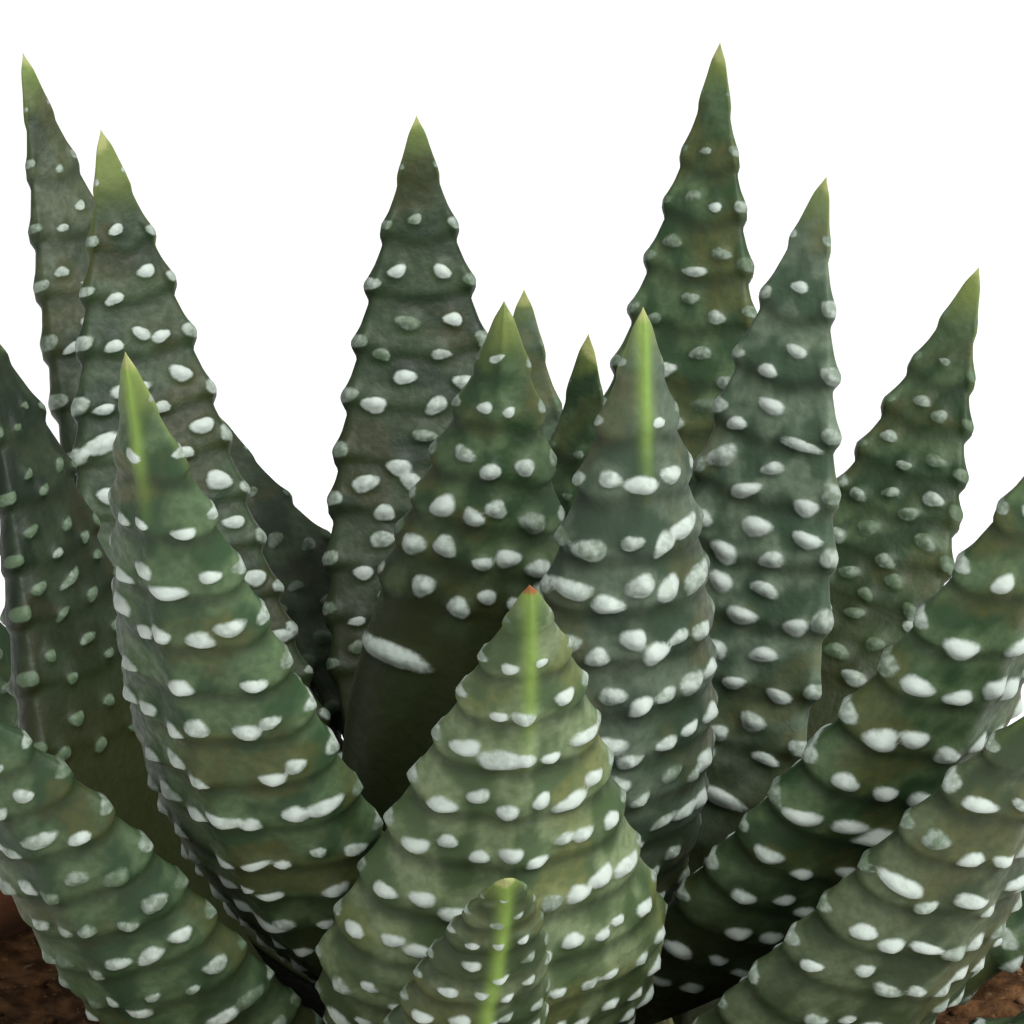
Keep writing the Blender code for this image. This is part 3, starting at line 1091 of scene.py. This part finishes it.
@dataclass
class Soil:
    """Filling of potting soil: a lumpy top round the crown, plain sides, and loose crumbs and grit on it."""

    level: float = SOIL_LEVEL
    relief: float = 0.75 * MM
    lump_scale: float = 520.0
    fine_scale: float = 2300.0
    side_gap: float = 0.35 * MM
    rings: int = 84
    segments: int = 220
    crumbs: int = 420
    crumb_low: float = 0.35 * MM
    crumb_high: float = 1.05 * MM
    crumb_lift: float = 0.1 * MM

    def top(self, flat: Array) -> Array:
        """Height of the surface over places at z = 0: the level with lumps of 8 mm down to 1 mm across."""
        lumps = 0.62 * waves(flat, self.lump_scale, 5, 3) + 0.38 * waves(flat, self.fine_scale, 6, 2)
        return self.level + self.relief * lumps

    def build(self, pot: Pot) -> None:
        """Turn the filling round the axis, from the crown's hole over the lumpy top and down the side.

        Args:
            pot: The pot that it fills.
        """
        hole = CROWN_RADIUS + GAP
        foot = self.level - CROWN_DEPTH - GAP
        outer = pot.inner_radius(self.level) - self.side_gap
        low = pot.floor + self.side_gap
        side = pot.inner_radius(low) - self.side_gap
        angle = np.linspace(0, 2 * math.pi, self.segments, endpoint=False)
        surface = turned(np.linspace(hole, outer, self.rings)[:, None], angle, 0.0)
        surface[..., 2] = self.top(surface)
        grid = np.concatenate([turned(hole, angle, foot)[None], surface, turned(side, angle, low)[None]])
        points, faces = closed(grid, [[0, 0, foot], [0, 0, low]], flip=True)
        loose, loose_faces, pale = self.grains(hole, outer)
        values = {"grain": np.concatenate([np.zeros(len(points)), pale])}
        faces.append(loose_faces + len(points))
        made = add_mesh("soil_filling", np.concatenate([points, loose]), faces, SoilFinish().make(), values)
        stand_in(made, "soil")

    def grains(self, inner: float, outer: float) -> tuple[Array, Array, Array]:
        """Loose crumbs: octahedra with unequal, turned half axes, seated on the surface at seeded places.

        Args:
            inner: Radius of the hole.
            outer: Radius of the filling.

        Returns:
            Their points, the corner numbers of their triangles, and each point's share of the pale grit.
        """
        draw = np.random.default_rng(11)
        corners = np.kron(np.eye(3), [[1], [-1]])
        upper = [[0, 2, 4], [2, 1, 4], [1, 3, 4], [3, 0, 4]]
        lower = [[2, 0, 5], [1, 2, 5], [3, 1, 5], [0, 3, 5]]
        spread = np.sqrt(draw.uniform((inner + 2 * MM) ** 2, (outer - 1.5 * MM) ** 2, self.crumbs))
        turn = draw.uniform(0, 2 * math.pi, self.crumbs)
        size = draw.uniform(self.crumb_low, self.crumb_high, (self.crumbs, 3)) * (1.0, 0.8, 0.55)
        spin = draw.uniform(0, 2 * math.pi, self.crumbs)
        shapes = corners[None] * size[:, None] * draw.uniform(0.75, 1.25, (self.crumbs, 6, 1))
        cos, sin = np.cos(spin)[:, None], np.sin(spin)[:, None]
        x = shapes[..., 0] * cos - shapes[..., 1] * sin
        y = shapes[..., 0] * sin + shapes[..., 1] * cos
        seat = turned(spread, turn, 0.0)
        seat[:, 2] = self.top(seat) + self.crumb_lift
        points = np.stack([x, y, shapes[..., 2]], axis=-1) + seat[:, None]
        faces = np.array(upper + lower) + 6 * np.arange(self.crumbs)[:, None, None]
        tint = np.random.default_rng(12)
        pale = np.where(tint.random(self.crumbs) < 0.25, tint.uniform(0.4, 0.9, self.crumbs), 0.0)
        return points.reshape(-1, 3), faces.reshape(-1, 3), np.repeat(pale, 6)


@dataclass
class Crown:
    """Short stem with a domed top that the leaves grow from."""

    segments: int = 96
    bands: int = 40
    low_angle: float = math.radians(106)
    ripple: float = 0.18 * MM

    def build(self) -> None:
        """Dome and foot turned round the axis, sunk in by scar ripples that follow the leaves' spiral."""
        polar = np.linspace(math.radians(2), self.low_angle, self.bands)[:, None]
        angle = np.linspace(0, 2 * math.pi, self.segments, endpoint=False)[None]
        scars = np.sin(5 * angle + 9 * polar) * np.sin(8 * angle - 7 * polar)
        radius = CROWN_RADIUS - self.ripple * (1 + scars)
        dome = turned(radius * np.sin(polar), angle, CROWN_CENTRE[2] + radius * np.cos(polar))
        foot = SOIL_LEVEL - CROWN_DEPTH
        grid = np.concatenate([dome, dome[-1:] * (1, 1, 0) + (0, 0, foot)])
        top = CROWN_CENTRE[2] + CROWN_RADIUS
        points, faces = closed(grid, [[0, 0, top], [0, 0, foot]], flip=True)
        stand_in(add_mesh("leaf_crown", points, faces, StemFinish().make(), {}), "crown")


@dataclass
class Studio:
    """Pale floor, white surroundings, soft lights and the photograph's camera."""

    floor_half: float = 4.0
    world_strength: float = 0.53
    key_place: Place = (0.55, -0.45, 0.95)
    key_power: float = 24.0
    key_size: float = 0.9
    fill_place: Place = (-0.9, -0.9, 0.5)
    fill_power: float = 2.5
    fill_size: float = 1.2
    sensor: float = 36.0
    lens_widths: float = 7000 / 1024
    distance: float = 0.5
    elevation: float = 24.0
    aim: Place = (-1.14 * MM, 0.0, 139.9 * MM)

    def build(self) -> None:
        """Set up floor, world, lights and camera."""
        self.floor()
        self.world()
        self.light("key", self.key_place, self.key_power, self.key_size)
        self.light("fill", self.fill_place, self.fill_power, self.fill_size)
        self.camera()

    def floor(self) -> None:
        """Flat square floor just under the pot."""
        points = self.floor_half * np.array([[-1, -1, 0], [1, -1, 0], [1, 1, 0], [-1, 1, 0]])
        floor = add_mesh("floor", points, [np.array([[0, 1, 2, 3]])], FloorFinish().make(), {})
        floor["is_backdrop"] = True

    def world(self) -> None:
        """Even white surroundings, shown as they are."""
        world = bpy.data.worlds.new("surroundings")
        world.use_nodes = True
        background = world.node_tree.nodes["Background"]
        background.inputs["Color"].default_value = (1.0, 1.0, 1.0, 1.0)
        background.inputs["Strength"].default_value = self.world_strength
        bpy.context.scene.world = world
        bpy.context.scene.view_settings.view_transform = "Standard"

    def light(self, name: str, place_at: Place, power: float, size: float) -> None:
        """Square soft light aimed at the plant.

        Args:
            name: Its name.
            place_at: Where it stands.
            power: Watts.
            size: Its edge.
        """
        data = bpy.data.lights.new(name, "AREA")
        data.energy = power
        data.size = size
        made = put(name, data)
        made.location = place_at
        made.rotation_euler = self.towards(place_at)

    def towards(self, place_at: Place) -> Place:
        """How an object is turned to look, along its -Z, from a place to the aim.

        Args:
            place_at: The place.

        Returns:
            Euler angles.
        """
        way = np.array(self.aim) - np.array(place_at)
        level = math.hypot(way[0], way[1])
        return (math.pi / 2 - math.atan2(-way[2], level), 0.0, math.atan2(way[1], way[0]) - math.pi / 2)

    def camera(self) -> None:
        """Long lens at the photograph's angle, looking along +Y and down by the elevation."""
        data = bpy.data.cameras.new("camera")
        data.sensor_width = self.sensor
        data.lens = self.sensor * self.lens_widths
        data.clip_start, data.clip_end = 0.01, 100.0
        made = put("camera", data)
        angle = math.radians(self.elevation)
        x, y, z = self.aim
        made.location = (x, y - self.distance * math.cos(angle), z + self.distance * math.sin(angle))
        made.rotation_euler = (math.pi / 2 - angle, 0.0, 0.0)
        bpy.context.scene.camera = made


def corners() -> list[list[float]]:
    """Lowest and highest corners of what is shown, as plain lists."""
    return [list(corner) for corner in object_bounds()]


def main() -> None:
    """Build every sub-assembly in order."""
    logging.basicConfig(level=logging.INFO, format="%(name)s %(message)s")
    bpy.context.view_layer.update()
    pot = Pot()
    pot.build()
    Soil().build(pot)
    Crown().build()
    Rosette().build()
    Studio().build()


if __name__ == "__main__":
    main()
